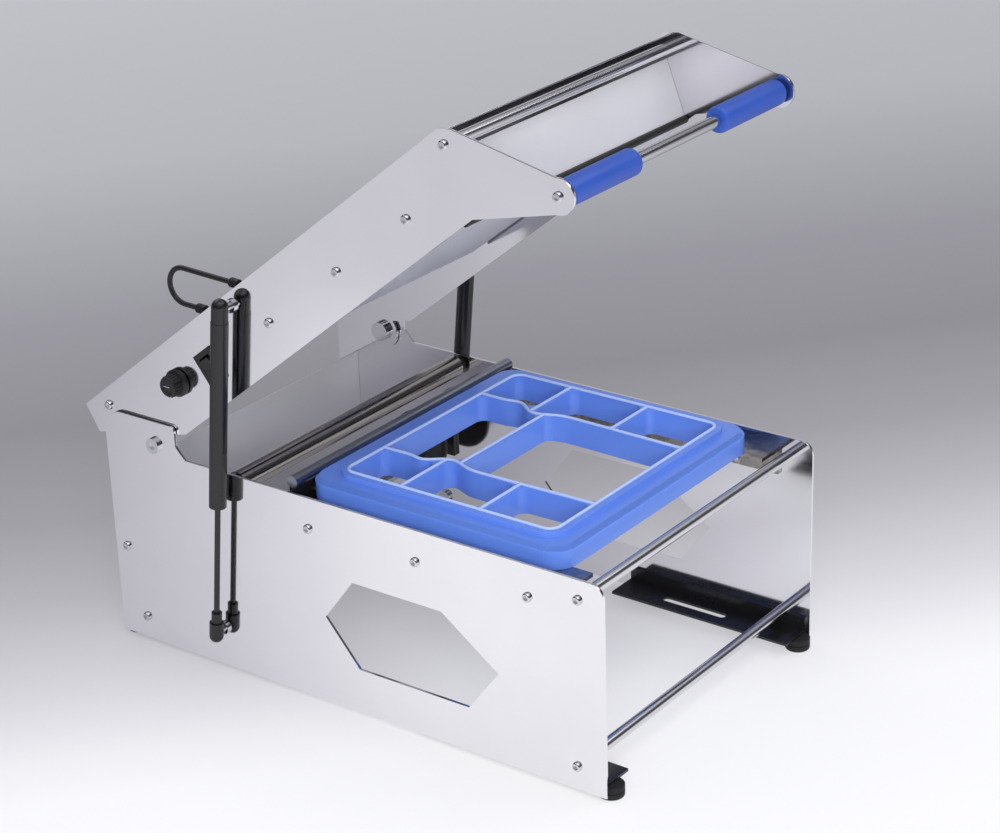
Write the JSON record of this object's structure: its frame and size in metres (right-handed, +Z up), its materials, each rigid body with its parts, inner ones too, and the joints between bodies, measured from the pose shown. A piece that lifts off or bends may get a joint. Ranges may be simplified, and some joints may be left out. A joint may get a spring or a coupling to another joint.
{
  "type": "manual meal tray sealer",
  "caption": "Hand-operated bench sealer: polished side plates carry a blue compartment tray mould, and a heated lid on gas struts swings down by a front handle to seal film on a tray.",
  "frame": {"origin": "on the table, midway across the machine and midway between the front feet and the open lid's rear corner", "axes": "+X across the machine to the operator's right, -Y towards the operator, +Z up"},
  "size_m": [0.423, 0.6604, 0.6357],
  "materials": {
    "stainless_plate": "polished sheet",
    "satin_panel": "satin sheet",
    "zinc_rail": "zinc plated angle",
    "satin_rod": "satin drawn rod",
    "burnished_roller": "burnished tube",
    "bright_steel": "turned and polished",
    "black_metal": "black coated",
    "black_plastic": "moulded",
    "mould_blue": "blue coated casting",
    "grip_blue": "moulded sleeve",
    "gasket_white": "silicone strip",
    "foot_rubber": "moulded",
    "heater_aluminium": "cast and milled",
    "coated_face": "non-stick coated"
  },
  "bodies": {
    "base": {"left_side_plate": "stainless_plate", "right_side_plate": "stainless_plate", "rear_panel": "satin_panel", "front_top_tie_bar": "bright_steel", "front_low_tie_bar": "bright_steel", "rear_low_tie_bar": "bright_steel", "rear_middle_tie_bar": "bright_steel", "left_base_screws": "bright_steel", "right_base_screws": "bright_steel", "left_hinge_bolt": "bright_steel", "right_hinge_bolt": "bright_steel", "left_lower_stud": "bright_steel", "right_lower_stud": "bright_steel", "left_mould_rail": "zinc_rail", "right_mould_rail": "zinc_rail", "film_rest_rod": "satin_rod", "front_left_foot_rail": "black_metal", "front_right_foot_rail": "black_metal", "rear_left_foot_rail": "black_metal", "rear_right_foot_rail": "black_metal", "film_strip": "black_metal", "left_spindle_cradle": "black_metal", "right_spindle_cradle": "black_metal", "left_roller_bush": "black_plastic", "right_roller_bush": "black_plastic", "mould": "mould_blue", "mould_gasket": "gasket_white", "front_left_foot": "foot_rubber", "front_right_foot": "foot_rubber", "rear_left_foot": "foot_rubber", "rear_right_foot": "foot_rubber"},
    "lid": {"left_lid_plate": "stainless_plate", "right_lid_plate": "stainless_plate", "lid_top_cover": "stainless_plate", "lid_front_panel": "satin_panel", "lid_front_bar": "bright_steel", "lid_rear_bar": "bright_steel", "handle_bar": "bright_steel", "left_grip": "grip_blue", "right_grip": "grip_blue", "heater_block": "heater_aluminium", "sealing_plate": "coated_face", "left_lid_screws": "bright_steel", "right_lid_screws": "bright_steel", "left_upper_stud": "bright_steel", "right_upper_stud": "bright_steel", "lead_glands": "black_plastic", "jumper_lead": "black_plastic", "thermostat": "black_plastic", "switch_housing": "black_plastic"},
    "knob": {"thermostat_knob": "black_plastic"},
    "rocker": {"switch_rocker": "black_plastic"},
    "roller": {"film_roller": "burnished_roller"},
    "spindle": {"film_spindle": "bright_steel", "left_film_collar": "black_plastic", "right_film_collar": "black_plastic"},
    "left_tube": {"left_strut_tube": "black_metal"},
    "right_tube": {"right_strut_tube": "black_metal"},
    "left_rod": {"left_strut_rod": "black_metal"},
    "right_rod": {"right_strut_rod": "black_metal"}
  },
  "joints": [
    {"name": "lid_hinge", "type": "hinge", "parent": "base", "child": "lid", "pos_m": [0, 0.23177, 0.237], "axis": [1, 0, 0], "range_deg": [0, 38], "stiffness_Nm_per_rad": 20, "springref_deg": -148.97},
    {"name": "knob_turn", "type": "hinge", "parent": "lid", "child": "knob", "pos_m": [-0.19, 0.19266, 0.31451], "axis": [-1, 0, 0], "range_deg": [0, 270]},
    {"name": "rocker_tip", "type": "hinge", "parent": "lid", "child": "rocker", "pos_m": [-0.182, 0.14709, 0.34123], "axis": [0, 0.788, -0.6157], "range_deg": [0, 16]},
    {"name": "roller_spin", "type": "hinge", "parent": "base", "child": "roller", "pos_m": [0, 0.12873, 0.217], "axis": [1, 0, 0], "continuous": true},
    {"name": "spindle_spin", "type": "hinge", "parent": "base", "child": "spindle", "pos_m": [0, 0.15477, 0.133], "axis": [1, 0, 0], "continuous": true},
    {"name": "left_tube_pivot", "type": "hinge", "parent": "lid", "child": "left_tube", "pos_m": [-0.2025, 0.11402, 0.41276], "axis": [1, 0, 0], "range_deg": [-20, 1]},
    {"name": "left_rod_pivot", "type": "hinge", "parent": "base", "child": "left_rod", "pos_m": [-0.2025, 0.15377, 0.049], "axis": [1, 0, 0], "range_deg": [-1, 21]},
    {"name": "right_tube_pivot", "type": "hinge", "parent": "lid", "child": "right_tube", "pos_m": [0.2025, 0.11402, 0.41276], "axis": [1, 0, 0], "range_deg": [-20, 1]},
    {"name": "right_rod_pivot", "type": "hinge", "parent": "base", "child": "right_rod", "pos_m": [0.2025, 0.15377, 0.049], "axis": [1, 0, 0], "range_deg": [-1, 21]}
  ],
  "couplings": [
    {"joint": "left_tube_pivot", "follows": "lid_hinge", "ratio": -0.48418},
    {"joint": "left_rod_pivot", "follows": "lid_hinge", "ratio": 0.51582},
    {"joint": "right_tube_pivot", "follows": "lid_hinge", "ratio": -0.48418},
    {"joint": "right_rod_pivot", "follows": "lid_hinge", "ratio": 0.51582}
  ]
}
